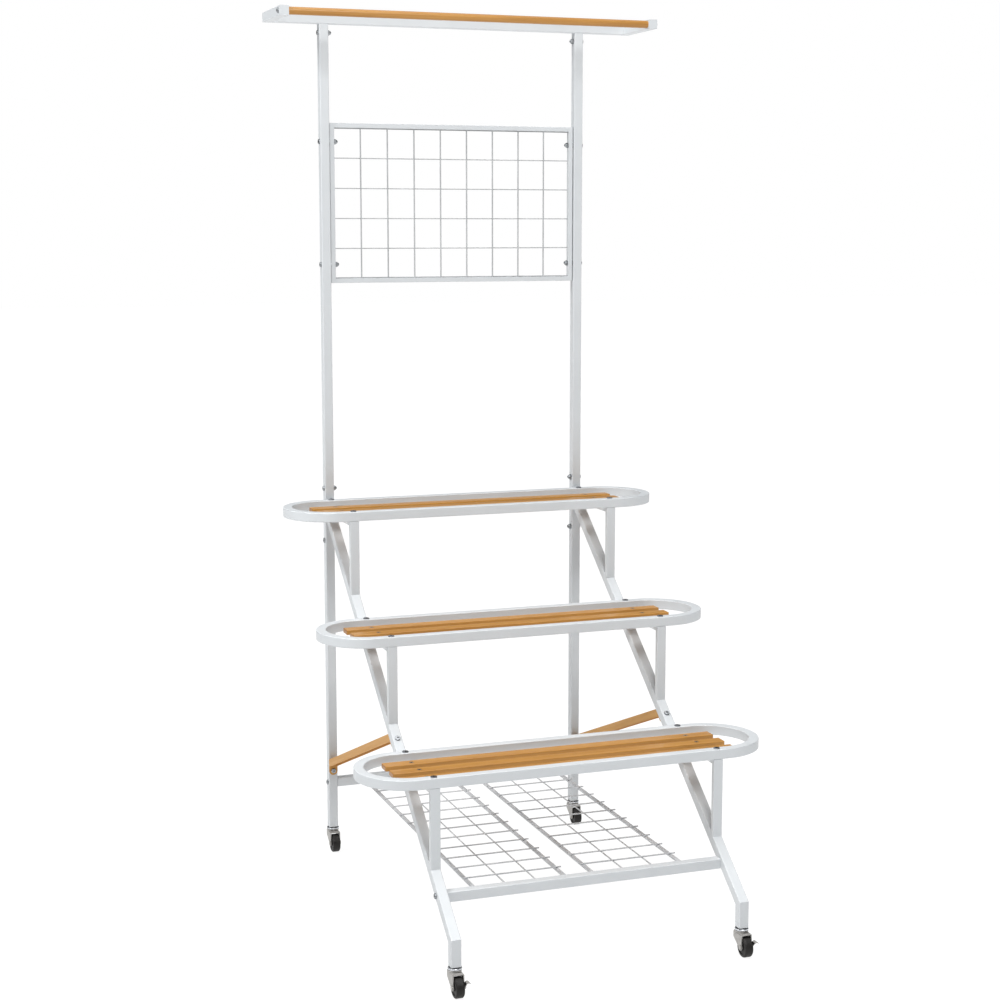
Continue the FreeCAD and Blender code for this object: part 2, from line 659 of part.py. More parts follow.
def crossbar(y):
    """Bar between the two sides at a depth: the legs' or the posts'."""
    length = POST_SPACING - TUBE
    return frame_tube(V(-length / 2, y, CROSSBAR_Z), ACROSS, length)


def crossbar_plugs():
    """Threaded plugs in the ends of both crossbars."""
    pieces = []
    length = POST_SPACING - TUBE
    for y, bolt in ((0, V(0, 0, CROSSBAR_Z)), (FRONT_BAR_Y, FRONT_BOLT)):
        for side in SIDES.values():
            end = side * length / 2
            plug = rounded_bar(SLEEVE, SLEEVE, PLUG_LENGTH, TUBE_EDGE)
            plug = turned(plug, V(end, y, CROSSBAR_Z), ACROSS * -side)
            pieces.append(drilled(plug, [bolt + ACROSS * end], ACROSS, BOLT, 2 * PLUG_LENGTH + OVERRUN))
    return Part.makeCompound(pieces)


def brace_plate(start, outward, towards, length):
    """End plate of a brace: flat on its seat, with a rounded tab about the bolt point."""
    plate = box(-BRACE_WIDTH / 2, BRACE_WIDTH / 2, 0, BRACE_SHEET, 0, length)
    tab = cylinder(BRACE_WIDTH / 2, V(0, 0, 0), BACK, BRACE_SHEET)
    hole = cylinder(BOLT / 2 + BOLT_PLAY, V(0, 0, 0) - BACK * OVERRUN, BACK, 2 * OVERRUN)
    shape = joined([plate, tab]).cut(hole)
    turn = FreeCAD.Rotation(outward.cross(towards), outward, towards, "ZYX")
    shape.Placement = FreeCAD.Placement(start, turn)
    return shape


def brace(side):
    """Brace bent from sheet: a channel open below, closed by a bolted end plate at each end."""
    x = ACROSS * (side * POST_X)
    reach = brace_leg_corner().distanceToPoint(BRACE_START) + 2 * BRACE_HEIGHT
    half_width = BRACE_WIDTH / 2
    half_height = BRACE_HEIGHT / 2
    channel = box(-half_width, half_width, -half_height, half_height, -2 * BRACE_HEIGHT, reach)
    half_inside = half_width - BRACE_SHEET
    inside_top = half_height - BRACE_SHEET
    hollow = box(-half_inside, half_inside, -BRACE_HEIGHT, inside_top, -OVERRUN, reach + OVERRUN)
    channel = turned(channel.cut(hollow), BRACE_START + x, BRACE_RISE)
    leg_under = LEG_REFERENCE - LEG_OUT * TUBE + x
    channel = channel.cut(beyond(BRACE_START + x, BACK))
    channel = channel.cut(beyond(leg_under, LEG_OUT))
    top_plane = BRACE_START + BRACE_TOP_SIDE * (BRACE_HEIGHT / 2) + x
    plate_length = BRACE_TAB_DROP + 2 * BRACE_HEIGHT
    low_plate = brace_plate(brace_post_bolt() + x, BACK * -1, UP, plate_length)
    high_plate = brace_plate(brace_leg_bolt() + x, LEG_OUT * -1, LEG_DOWN * -1, plate_length)
    plates = [p.cut(beyond(top_plane, BRACE_TOP_SIDE)) for p in (low_plate, high_plate)]
    return joined([channel] + plates)


def end_edges(shape, point, direction):
    """Round edges of a shape in the plane through a point, square to a direction."""
    return [e for e in shape.Edges if e.Closed and abs((e.CenterOfMass - point).dot(direction)) < CLOSE]


def bolt(sizes, head_face, direction, length):
    """Bolt of one family pointing along direction, its head seated on head_face."""
    diameter, head, head_height, head_edge, socket, socket_depth = sizes
    start = head_face - direction * head_height
    cap = cylinder(head / 2, start, direction, head_height)
    cap = cap.makeFillet(head_edge, end_edges(cap, start, direction))
    cap = cap.cut(cylinder(socket / 2, start, direction, socket_depth))
    shank = cylinder(diameter / 2, head_face, direction, length)
    return joined([cap, shank])


def frame_bolt(head_face, direction, length):
    """Main bolt of the frame."""
    return bolt(FRAME_BOLT_SIZES, head_face, direction, length)


def acorn_nut(seat, direction):
    """Domed nut seated on a face and pointing away from it."""
    corner = NUT_FLATS / 2 / math.cos(math.pi / 6)
    points = [V(corner * math.cos(k * math.pi / 3), corner * math.sin(k * math.pi / 3), 0) for k in range(7)]
    hexagon = Part.Face(Part.makePolygon(points)).extrude(UP * NUT_BASE)
    dome = Part.makeSphere(NUT_DOME, V(0, 0, NUT_BASE))
    bore = cylinder(BOLT / 2 + BOLT_PLAY, V(0, 0, 0), UP, NUT_BORE_DEPTH)
    dome = dome.cut(beyond(V(0, 0, NUT_BASE / 2), UP * -1))
    return turned(joined([hexagon, dome]).cut(bore), seat, direction)


def side_bolt_places():
    """Heights of the bolts through one post thickness."""
    return (SLEEVE_BOLT_LOW, SLEEVE_BOLT_HIGH, HANGER_BOLT_Z)


def post_bolts():
    """Bolts through the posts into the sleeves, heads outside."""
    pieces = []
    for side in SIDES.values():
        for z in side_bolt_places():
            face = V(side * (POST_X + HALF_TUBE), 0, z)
            pieces.append(frame_bolt(face, ACROSS * -side, TUBE + NUT_THREAD))
    return Part.makeCompound(pieces)


def trellis_bolts():
    """Bolts through the posts, the spacers and the trellis stiles, heads outside."""
    length = TUBE + TRELLIS_GAP + TRELLIS_TUBE + NUT_THREAD
    pieces = []
    for side in SIDES.values():
        for z in TRELLIS_BOLT_HEIGHTS:
            face = V(side * (POST_X + HALF_TUBE), 0, z)
            pieces.append(frame_bolt(face, ACROSS * -side, length))
    return Part.makeCompound(pieces)


def brace_bolts():
    """Bolts through the brace tabs, into the posts and through the legs."""
    pieces = []
    for side in SIDES.values():
        x = ACROSS * (side * POST_X)
        length = TUBE + BRACE_SHEET + NUT_THREAD
        pieces.append(frame_bolt(brace_post_bolt() + x - BACK * BRACE_SHEET, BACK, length))
        pieces.append(frame_bolt(brace_leg_bolt() + x + LEG_OUT * TUBE, LEG_OUT * -1, length))
    return Part.makeCompound(pieces)


def acorn_nuts():
    """Domed nuts on the bolts of the posts, the trellis and the braces."""
    pieces = []
    for side in SIDES.values():
        x = side * POST_X
        inwards = ACROSS * -side
        post_inside = side * (POST_X - HALF_TUBE)
        stile_inside = side * (trellis_x() - TRELLIS_TUBE)
        for z in side_bolt_places():
            pieces.append(acorn_nut(V(post_inside, 0, z), inwards))
        for z in TRELLIS_BOLT_HEIGHTS:
            pieces.append(acorn_nut(V(stile_inside, 0, z), inwards))
        pieces.append(acorn_nut(V(x, HALF_TUBE, brace_post_bolt().z), BACK))
        pieces.append(acorn_nut(brace_leg_bolt() + ACROSS * x - LEG_OUT * BRACE_SHEET, LEG_OUT * -1))
    return Part.makeCompound(pieces)


def end_bolts():
    """Bolts from outside into the ends of the crossbars and of the hanging rod."""
    pieces = []
    for side in SIDES.values():
        inwards = ACROSS * -side
        outside = ACROSS * (side * (POST_X + HALF_TUBE))
        pieces.append(frame_bolt(outside + UP * CROSSBAR_Z, inwards, TUBE + END_BOLT_BITE))
        pieces.append(frame_bolt(outside + FRONT_BOLT, inwards, TUBE + END_BOLT_BITE))
        rod_face = V(side * HANGER_WIDTH / 2, ROD_Y, ROD_Z)
        pieces.append(frame_bolt(rod_face, inwards, TUBE + END_BOLT_BITE))
    return Part.makeCompound(pieces)


def rim_bolts():
    """Flat-headed bolts down through the rims into the brackets."""
    pieces = []
    for index in range(SHELF_COUNT):
        top = shelf_seat(index) + RIM
        for side in SIDES.values():
            for y in rim_places(index):
                face = V(side * POST_X, y, top)
                pieces.append(bolt(RIM_BOLT_SIZES, face, UP * -1, RIM + RIM_BOLT_BITE))
    return Part.makeCompound(pieces)


def slat_screw(top):
    """Countersunk screw under a point, long enough to bite into the bracket."""
    shank = cylinder(SLAT_SCREW / 2, top, UP * -1, SLAT_THICKNESS - SLAT_SCREW_SINK + SLAT_SCREW_BITE)
    socket = cylinder(SLAT_SCREW_SOCKET / 2, top, UP * -1, SLAT_SCREW_SOCKET_DEPTH)
    return joined([screw_cone(top, 0), shank]).cut(socket)


def slat_screws():
    """Screws down through the slats into the brackets."""
    pieces = []
    for index in range(SHELF_COUNT):
        for side in SIDES.values():
            for y in slat_places(index):
                pieces.append(slat_screw(screw_top(index, side, y)))
    return Part.makeCompound(pieces)


def caster_places():
    """Stem axis of each caster, and whether it has a brake."""
    places = {}
    for name, side in SIDES.items():
        places["front_" + name] = (side * POST_X, -FOOT_REACH, True)
        places["rear_" + name] = (side * POST_X, 0, False)
    return places


def fork_shell(x, y):
    """Sheet of a caster fork: bridge with bent edges, back wall, and cheeks that taper to round bosses."""
    axle_y = y - CASTER_TRAIL
    axle_z = WHEEL / 2
    back = y + FORK_BACK
    front = axle_y - FORK_LIP
    shoulder = FORK_BRIDGE_TOP - FORK_SHOULDER
    pieces = [box(x - FORK_OUTER, x + FORK_OUTER, front, back, FORK_BRIDGE_BOTTOM, FORK_BRIDGE_TOP)]
    pieces.append(box(x - FORK_OUTER, x + FORK_OUTER, back - FORK_SHEET, back, shoulder, FORK_BRIDGE_TOP))
    for side in SIDES.values():
        middle = x + side * (FORK_INNER + FORK_SHEET / 2)
        pieces.append(bracket_outline(middle, FORK_SHEET, [
            (back, FORK_BRIDGE_TOP), (back, shoulder), (axle_y, axle_z - FORK_BOSS_RADIUS),
            (front, axle_z), (front, FORK_BRIDGE_TOP)]))
        start = V(middle - FORK_SHEET / 2, axle_y, axle_z)
        pieces.append(cylinder(FORK_BOSS_RADIUS, start, ACROSS, FORK_SHEET))
    shell = joined(pieces)
    bends = []
    for edge in shell.Edges:
        ends = [v.Point for v in edge.Vertexes]
        on_top = all(abs(p.z - FORK_BRIDGE_TOP) < CLOSE for p in ends)
        if on_top and abs(ends[0].x - ends[-1].x) < CLOSE:
            bends.append(edge)
    return shell.makeFillet(FORK_BEND, bends)


def caster_fork(x, y, brake):
    """Swivel fork with its lower race and its riveted axle, longer where a brake sits on it."""
    axle_y = y - CASTER_TRAIL
    axle_z = WHEEL / 2
    race_top = V(x, y, RACE_TOP)
    race = cylinder(RACE_RADIUS, V(x, y, FORK_BRIDGE_TOP), UP, RACE_HEIGHT)
    race = race.makeFillet(RACE_EDGE, end_edges(race, race_top, UP))
    left = FORK_OUTER
    right = FORK_OUTER
    if brake:
        right = FORK_OUTER + 2 * BRAKE_GAP + BRAKE_SHEET
    pieces = [fork_shell(x, y), race]
    pieces.append(cylinder(AXLE / 2, V(x - left, axle_y, axle_z), ACROSS, left + right))
    for head_x in (x - left - AXLE_HEAD_HEIGHT, x + right):
        pieces.append(cylinder(AXLE_HEAD_RADIUS, V(head_x, axle_y, axle_z), ACROSS, AXLE_HEAD_HEIGHT))
    hole = cylinder(STEM / 2 + STEM_PLAY, V(x, y, FORK_BRIDGE_BOTTOM - OVERRUN), UP, 2 * OVERRUN)
    return joined(pieces).cut(hole)


def caster_wheel(x, y):
    """Wheel with a rounded tread and a shallow ring in each side."""
    axle_y = y - CASTER_TRAIL
    axle_z = WHEEL / 2
    left = V(x - WHEEL_WIDTH / 2, axle_y, axle_z)
    wheel = cylinder(WHEEL / 2, left, ACROSS, WHEEL_WIDTH)
    wheel = wheel.makeFillet(WHEEL_EDGE, [e for e in wheel.Edges if e.Closed])
    for side in SIDES.values():
        face = V(x + side * WHEEL_WIDTH / 2, axle_y, axle_z)
        ring = cylinder(WHEEL / 2 - WHEEL_BAND, face, ACROSS * -side, WHEEL_RECESS)
        hub = cylinder(WHEEL_HUB_RADIUS, face, ACROSS * -side, WHEEL_RECESS)
        wheel = wheel.cut(ring.cut(hub))
    bore = cylinder(AXLE / 2 + AXLE_PLAY, left - ACROSS * OVERRUN, ACROSS, WHEEL_WIDTH + 2 * OVERRUN)
    return wheel.cut(bore)


def brake_tab(tip):
    """Foot tab of a brake lever, arched outwards and down from the arm's tip."""
    start = tip - BACK * (BRAKE_TAB_DEPTH / 2)
    width = BRAKE_SHEET + BRAKE_TAB_WIDTH
    top = [start, start + V(width / 2, 0, BRAKE_TAB_CROWN), start + V(width, 0, -BRAKE_TAB_DROP)]
    under = [p - UP * BRAKE_SHEET for p in top]
    edges = [
        Part.Arc(top[0], top[1], top[2]).toShape(),
        Part.makeLine(top[2], under[2]),
        Part.Arc(under[2], under[1], under[0]).toShape(),
        Part.makeLine(under[0], top[0])]
    return Part.Face(Part.Wire(edges)).extrude(BACK * BRAKE_TAB_DEPTH)


def caster_brake(x, y):
    """Brake lever on the right end of the axle, with a foot tab bent outwards."""
    axle_y = y - CASTER_TRAIL
    axle_z = WHEEL / 2
    inner = x + FORK_OUTER + BRAKE_GAP
    angle = math.radians(BRAKE_ARM_ANGLE)
    along = V(0, -math.cos(angle), math.sin(angle))
    axle = V(inner, axle_y, axle_z)
    boss = cylinder(BRAKE_BOSS_RADIUS, axle, ACROSS, BRAKE_SHEET)
    half_width = BRAKE_ARM_WIDTH / 2
    arm = box(0, BRAKE_SHEET, -half_width, half_width, 0, BRAKE_ARM_LENGTH + BRAKE_ARM_WIDTH)
    tip = axle + along * BRAKE_ARM_LENGTH
    arm = turned(arm, axle, along).cut(beyond(tip, UP))
    hole = cylinder(AXLE / 2 + AXLE_PLAY, axle - ACROSS * OVERRUN, ACROSS, 2 * OVERRUN)
    return joined([boss, arm, brake_tab(tip)]).cut(hole)


def caster_stems():
    """Fixed stems, each with its upper race and the rivet head that keeps the fork on."""
    pieces = []
    for x, y, brake in caster_places().values():
        race = cylinder(TOP_RACE_RADIUS, V(x, y, TOP_RACE_BOTTOM), UP, TOP_RACE_HEIGHT)
        race = race.makeFillet(TOP_RACE_EDGE, [e for e in race.Edges if e.Closed])
        rivet_top = FORK_BRIDGE_BOTTOM - RACE_GAP
        rivet = cylinder(STEM_RIVET_RADIUS, V(x, y, rivet_top - STEM_RIVET_HEIGHT), UP, STEM_RIVET_HEIGHT)
        top = FOOT_BOTTOM + STEM_LENGTH
        shaft = cylinder(STEM / 2, V(x, y, rivet_top), UP, top - rivet_top)
        pieces.append(joined([race, rivet, shaft]))
    return Part.makeCompound(pieces)


def caster_inserts():
    """Plugs in the tube ends that hold the caster stems."""
    pieces = []
    for x, y, brake in caster_places().values():
        plug = rounded_bar(SLEEVE, SLEEVE, INSERT_LENGTH, TUBE_EDGE)
        plug.translate(V(x, y, FOOT_BOTTOM))
        collar = cylinder(INSERT_COLLAR_RADIUS, V(x, y, TOP_RACE_TOP), UP, INSERT_COLLAR)
        start = V(x, y, TOP_RACE_TOP - OVERRUN)
        hole = cylinder(STEM / 2 + STEM_PLAY, start, UP, INSERT_LENGTH + 2 * OVERRUN)
        pieces.append(joined([plug, collar]).cut(hole))
    return Part.makeCompound(pieces)


def all_pieces():
    """Every piece of the stand by name."""
    pieces = {}
    for name, side in SIDES.items():
        pieces["post_lower_" + name] = post_lower(side)
        pieces["post_middle_" + name] = post_middle(side)
        pieces["post_upper_" + name] = post_upper(side)
        pieces["leg_" + name] = leg(side)
        pieces["leg_end_" + name] = leg_end(side)
        pieces["hanger_arm_" + name] = hanger_arm(side)
        pieces["trellis_stile_" + name] = trellis_stile(side)
        pieces["mesh_panel_" + name] = mesh_panel(side)
        pieces["brace_" + name] = brace(side)
        for index in range(SHELF_COUNT):
            pieces["shelf_bracket_%d_%s" % (index + 1, name)] = bracket(side, index)
    for index in range(SHELF_COUNT):
        pieces["shelf_rim_%d" % (index + 1)] = rim(index)
        pieces["shelf_slats_%d" % (index + 1)] = slats(index)
    pieces["tube_sleeves"] = sleeves()
    pieces["hanger_back_bar"] = hanger_back_bar()
    pieces["hanger_rod"] = hanger_rod()
    pieces["trellis_rail_upper"] = trellis_rail(True)
    pieces["trellis_rail_lower"] = trellis_rail(False)
    pieces["trellis_grid"] = trellis_grid()
    pieces["trellis_spacers"] = trellis_spacers()
    pieces["crossbar_front"] = crossbar(FRONT_BAR_Y)
    pieces["crossbar_rear"] = crossbar(0)
    pieces["crossbar_plugs"] = crossbar_plugs()
    pieces["post_bolts"] = post_bolts()
    pieces["trellis_bolts"] = trellis_bolts()
    pieces["brace_bolts"] = brace_bolts()
    pieces["acorn_nuts"] = acorn_nuts()
    pieces["end_bolts"] = end_bolts()
    pieces["rim_bolts"] = rim_bolts()
    pieces["slat_screws"] = slat_screws()
    pieces["caster_stems"] = caster_stems()
    pieces["caster_inserts"] = caster_inserts()
    for name, (x, y, brake) in caster_places().items():
        pieces["caster_fork_" + name] = caster_fork(x, y, brake)
        pieces["caster_wheel_" + name] = caster_wheel(x, y)
        if brake:
            pieces["caster_brake_" + name] = caster_brake(x, y)
    return pieces


def main():
    """Builds every piece, moves it to the final origin and writes it."""
    os.makedirs("parts", exist_ok=True)
    for name, shape in all_pieces().items():
        shape.translate(BACK * DEPTH_SHIFT)
        shape.exportStep("parts/%s.step" % name)


main()
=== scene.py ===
import math

import bpy
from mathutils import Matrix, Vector


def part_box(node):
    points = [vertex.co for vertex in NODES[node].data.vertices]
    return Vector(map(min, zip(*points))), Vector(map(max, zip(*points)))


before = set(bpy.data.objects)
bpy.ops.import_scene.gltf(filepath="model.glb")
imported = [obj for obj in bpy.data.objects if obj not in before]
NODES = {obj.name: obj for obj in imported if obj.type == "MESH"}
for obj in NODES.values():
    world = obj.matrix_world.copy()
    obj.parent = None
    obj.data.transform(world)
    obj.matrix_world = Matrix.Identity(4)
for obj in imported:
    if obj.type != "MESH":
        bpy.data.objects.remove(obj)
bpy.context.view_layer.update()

# Camera, fitted to the photograph's view: metres from the middle of the posts, and degrees
CAMERA_FROM_POSTS = (-1.3403, -4.0424, 1.4001)
CAMERA_TURN = -19.73
CAMERA_TILT = 81.81
CAMERA_LENS = 68.31
CAMERA_SENSOR = 36.0

# Stage and light
FLOOR_SIZE = 60.0
FLOOR_COLOUR = (0.16, 0.16, 0.16, 1.0)
FLOOR_ROUGHNESS = 0.9
FLOOR_GLOW = 0.91
WHITE = (1.0, 1.0, 1.0, 1.0)
SKY_LIGHT_COLOUR = (0.96, 0.98, 1.0, 1.0)
SKY_SHOWN = 1.0
SKY_LIGHT = 0.06
TOP_STRENGTH = 1.9
TOP_SOFTNESS = 45.0
# Each lamp's power in watts, and its place in metres: from the middle of the posts, and its height
LAMPS = {
    "front": (105.0, (0.0, -3.5, 3.8)),
    "left": (135.0, (-3.6, -0.5, 3.8)),
}
LAMP_SIZE = 1.6
LAMP_AIM_HEIGHT = 0.9

# Slope of the braces in degrees, which their streaks follow
BRACE_SLOPE = 20.8

# Depth of each surface's relief, and how far the painted shade reaches out of gaps, in metres
PEEL_DEPTH = 0.0003
FIBRE_DEPTH = 0.0004
SCRATCH_DEPTH = 0.0002
GRAIN_DEPTH = 0.0003
PAINTED_SHADE_REACH = 0.008
PAINTED_SHADE_SAMPLES = 8

# Strength of each relief
PEEL_STRENGTH = 0.12
FIBRE_STRENGTH = 0.25
SCRATCH_STRENGTH = 0.15
GRAIN_STRENGTH = 0.3

# How often each pattern repeats in a metre: the same all ways, or along X, Y and Z
EVEN = (1.0, 1.0, 1.0)
COAT_CLOUDS = 14.0
COAT_SHEEN = 60.0
PEEL_GRAINS = 900.0
TARNISH_CLOUDS = 120.0
DUST_CLOUDS = 90.0
MOULD_GRAINS = 2200.0
WOOD_BANDS = (3.0, 70.0, 70.0)
WOOD_FIBRES = (14.0, 900.0, 900.0)
WOOD_RINGS = (1.0, 260.0, 420.0)
BRACE_STREAKS = (60.0, 5.0, 160.0)
SCRATCHES = (300.0, 300.0, 2600.0)

# Detail and grain of the patterns, and the part of their range that is used
DETAIL = 3.0
FINE_DETAIL = 2.0
RICH_DETAIL = 4.0
GRAININESS = 0.5
WOOD_GRAININESS = 0.6
USUAL_SPAN = (0.3, 0.7)
BAND_SPAN = (0.32, 0.58)
FIBRE_SPAN = (0.25, 0.6)
FULL_SPAN = (0.0, 1.0)
FIBRE_SHARE = 0.4

# Finish: roughness from the pattern's low end to its high end, gloss and metal
COAT_ROUGHNESS = (0.34, 0.46)
WOOD_ROUGHNESS = (0.34, 0.5)
BRACE_ROUGHNESS = (0.55, 0.45)
ZINC_ROUGHNESS = (0.28, 0.42)
RACE_ROUGHNESS = (0.25, 0.4)
FORK_ROUGHNESS = (0.32, 0.46)
BOLT_ROUGHNESS = (0.3, 0.45)
NYLON_ROUGHNESS = (0.5, 0.65)
TYRE_ROUGHNESS = (0.42, 0.6)
COAT_GLOSS = 0.45
WOOD_GLOSS = 0.3
BRACE_GLOSS = 0.25
MOULD_GLOSS = 0.25
VARNISH = 0.3
VARNISH_ROUGHNESS = 0.25
BRIGHT_METAL = 0.9
DULL_METAL = 0.4

# Colours, linear
COAT_LIGHT = (0.628, 0.653, 0.672, 1.0)
COAT_DARK = (0.603, 0.628, 0.647, 1.0)
MESH_LIGHT = (0.56, 0.57, 0.585, 1.0)
MESH_DARK = (0.46, 0.47, 0.485, 1.0)
WIRE_LIGHT = (0.46, 0.47, 0.48, 1.0)
WIRE_DARK = (0.37, 0.38, 0.39, 1.0)
WOOD_LIGHT = (0.50, 0.248, 0.058, 1.0)
WOOD_DARK = (0.36, 0.160, 0.030, 1.0)
WOOD_END = (0.28, 0.120, 0.024, 1.0)
BRACE_LIGHT = (0.60, 0.32, 0.092, 1.0)
BRACE_DARK = (0.54, 0.275, 0.072, 1.0)
ZINC_LIGHT = (0.44, 0.46, 0.48, 1.0)
ZINC_DARK = (0.26, 0.275, 0.29, 1.0)
RACE_LIGHT = (0.74, 0.76, 0.79, 1.0)
RACE_DARK = (0.54, 0.56, 0.59, 1.0)
FORK_LIGHT = (0.47, 0.46, 0.44, 1.0)
FORK_DARK = (0.32, 0.31, 0.295, 1.0)
# Painted shade: near-black colour laid deep in narrow gaps and recesses, where shade falls
PAINTED_SHADE_LIGHT = (0.014, 0.013, 0.012, 1.0)
PAINTED_SHADE_DARK = (0.005, 0.0048, 0.0045, 1.0)
BOLT_LIGHT = (0.30, 0.31, 0.34, 1.0)
BOLT_DARK = (0.17, 0.18, 0.20, 1.0)
NYLON_LIGHT = (0.030, 0.030, 0.032, 1.0)
NYLON_DARK = (0.016, 0.016, 0.018, 1.0)
TYRE_LIGHT = (0.024, 0.0222, 0.0205, 1.0)
TYRE_DARK = (0.0085, 0.0079, 0.0072, 1.0)


def add(tree, kind, inputs=None, **settings):
    """New shader node with its settings and the values of its unlinked inputs."""
    item = tree.nodes.new(kind)
    for name, value in settings.items():
        setattr(item, name, value)
    for name, value in (inputs or {}).items():
        item.inputs[name].default_value = value
    return item


def place(tree, scale, turn=(0.0, 0.0, 0.0)):
    """Coordinates in each piece's own frame, turned and then stretched."""
    coords = add(tree, "ShaderNodeTexCoord")
    turned = add(tree, "ShaderNodeMapping", {"Rotation": turn})
    stretched = add(tree, "ShaderNodeMapping", {"Scale": scale})
    tree.links.new(coords.outputs["Object"], turned.inputs["Vector"])
    tree.links.new(turned.outputs["Vector"], stretched.inputs["Vector"])
    return stretched.outputs["Vector"]


def noise(tree, vector, scale=1.0, detail=DETAIL, roughness=GRAININESS):
    """Soft cloudy pattern between 0 and 1."""
    item = add(tree, "ShaderNodeTexNoise", {"Scale": scale, "Detail": detail, "Roughness": roughness})
    tree.links.new(vector, item.inputs["Vector"])
    return item.outputs["Fac"]


def ramp(tree, factor, low, high, span=USUAL_SPAN):
    """Colour that runs from low to high as the factor goes over the span."""
    item = add(tree, "ShaderNodeValToRGB")
    for element, position, colour in zip(item.color_ramp.elements, span, (low, high)):
        element.position = position
        element.color = colour
    tree.links.new(factor, item.inputs["Fac"])
    return item.outputs["Color"]


def spread(tree, factor, values):
    """Number that runs from the first value to the second as the factor goes over its usual span."""
    start, end = USUAL_SPAN
    low, high = values
    limits = {"From Min": start, "From Max": end, "To Min": low, "To Max": high}
    item = add(tree, "ShaderNodeMapRange", limits)
    tree.links.new(factor, item.inputs["Value"])
    return item.outputs["Result"]


def mixed(tree, factor, first, second):
    """Mix of two colours by a factor."""
    item = add(tree, "ShaderNodeMix", data_type="RGBA")
    tree.links.new(factor, item.inputs["Factor"])
    tree.links.new(first, item.inputs["A"])
    tree.links.new(second, item.inputs["B"])
    return item.outputs["Result"]


def bump(tree, height, strength, depth):
    """Surface relief from a height pattern."""
    item = add(tree, "ShaderNodeBump", {"Strength": strength, "Distance": depth})
    tree.links.new(height, item.inputs["Height"])
    return item.outputs["Normal"]


def with_painted_gap_shade(tree, colour, pattern):
    """Colour that turns to near-black painted shade deep in narrow gaps, where shade falls."""
    gaps = add(tree, "ShaderNodeAmbientOcclusion", {"Distance": PAINTED_SHADE_REACH}, samples=PAINTED_SHADE_SAMPLES)
    open_part = spread(tree, gaps.outputs["AO"], FULL_SPAN)
    return mixed(tree, open_part, ramp(tree, pattern, PAINTED_SHADE_DARK, PAINTED_SHADE_LIGHT), colour)


def start_material(name):
    """Empty principled material: the material, its tree and its shader."""
    material = bpy.data.materials.new(name)
    material.use_nodes = True
    tree = material.node_tree
    return material, tree, tree.nodes["Principled BSDF"]


def powder_coat(name, light, dark):
    """Satin powder coat: faint clouding, and the fine orange peel of sprayed powder."""
    material, tree, shader = start_material(name)
    where = place(tree, EVEN)
    clouds = noise(tree, where, COAT_CLOUDS)
    sheen = noise(tree, where, COAT_SHEEN)
    peel = noise(tree, where, PEEL_GRAINS, detail=FINE_DETAIL)
    tree.links.new(ramp(tree, clouds, dark, light), shader.inputs["Base Color"])
    tree.links.new(spread(tree, sheen, COAT_ROUGHNESS), shader.inputs["Roughness"])
    tree.links.new(bump(tree, peel, PEEL_STRENGTH, PEEL_DEPTH), shader.inputs["Normal"])
    shader.inputs["Specular IOR Level"].default_value = COAT_GLOSS
    return material


def wood(name):
    """Varnished wood with the grain along the stand's width and darker end grain."""
    material, tree, shader = start_material(name)
    bands = noise(tree, place(tree, WOOD_BANDS), detail=RICH_DETAIL, roughness=WOOD_GRAININESS)
    fibres = noise(tree, place(tree, WOOD_FIBRES), roughness=WOOD_GRAININESS)
    broad = ramp(tree, bands, WOOD_DARK, WOOD_LIGHT, BAND_SPAN)
    fine = ramp(tree, fibres, WOOD_DARK, WOOD_LIGHT, FIBRE_SPAN)
    grain = add(tree, "ShaderNodeMix", {"Factor": FIBRE_SHARE}, data_type="RGBA")
    tree.links.new(broad, grain.inputs["A"])
    tree.links.new(fine, grain.inputs["B"])
    normal = add(tree, "ShaderNodeNewGeometry")
    split = add(tree, "ShaderNodeSeparateXYZ")
    tree.links.new(normal.outputs["Normal"], split.inputs["Vector"])
    across = add(tree, "ShaderNodeMath", operation="ABSOLUTE")
    tree.links.new(split.outputs["X"], across.inputs[0])
    rings = noise(tree, place(tree, WOOD_RINGS), detail=FINE_DETAIL)
    end = ramp(tree, rings, WOOD_END, WOOD_DARK)
    colour = mixed(tree, across.outputs["Value"], grain.outputs["Result"], end)
    tree.links.new(colour, shader.inputs["Base Color"])
    tree.links.new(spread(tree, fibres, WOOD_ROUGHNESS), shader.inputs["Roughness"])
    tree.links.new(bump(tree, fibres, FIBRE_STRENGTH, FIBRE_DEPTH), shader.inputs["Normal"])
    shader.inputs["Specular IOR Level"].default_value = WOOD_GLOSS
    shader.inputs["Coat Weight"].default_value = VARNISH
    shader.inputs["Coat Roughness"].default_value = VARNISH_ROUGHNESS
    return material


def brace_coat(name):
    """Wood-coloured paint with faint streaks along the brace."""
    material, tree, shader = start_material(name)
    turn = (math.radians(BRACE_SLOPE), 0.0, 0.0)
    streaks = noise(tree, place(tree, BRACE_STREAKS, turn))
    peel = noise(tree, place(tree, EVEN), PEEL_GRAINS, detail=FINE_DETAIL)
    tree.links.new(ramp(tree, streaks, BRACE_DARK, BRACE_LIGHT), shader.inputs["Base Color"])
    tree.links.new(spread(tree, streaks, BRACE_ROUGHNESS), shader.inputs["Roughness"])
    tree.links.new(bump(tree, peel, PEEL_STRENGTH, PEEL_DEPTH), shader.inputs["Normal"])
    shader.inputs["Specular IOR Level"].default_value = BRACE_GLOSS
    return material


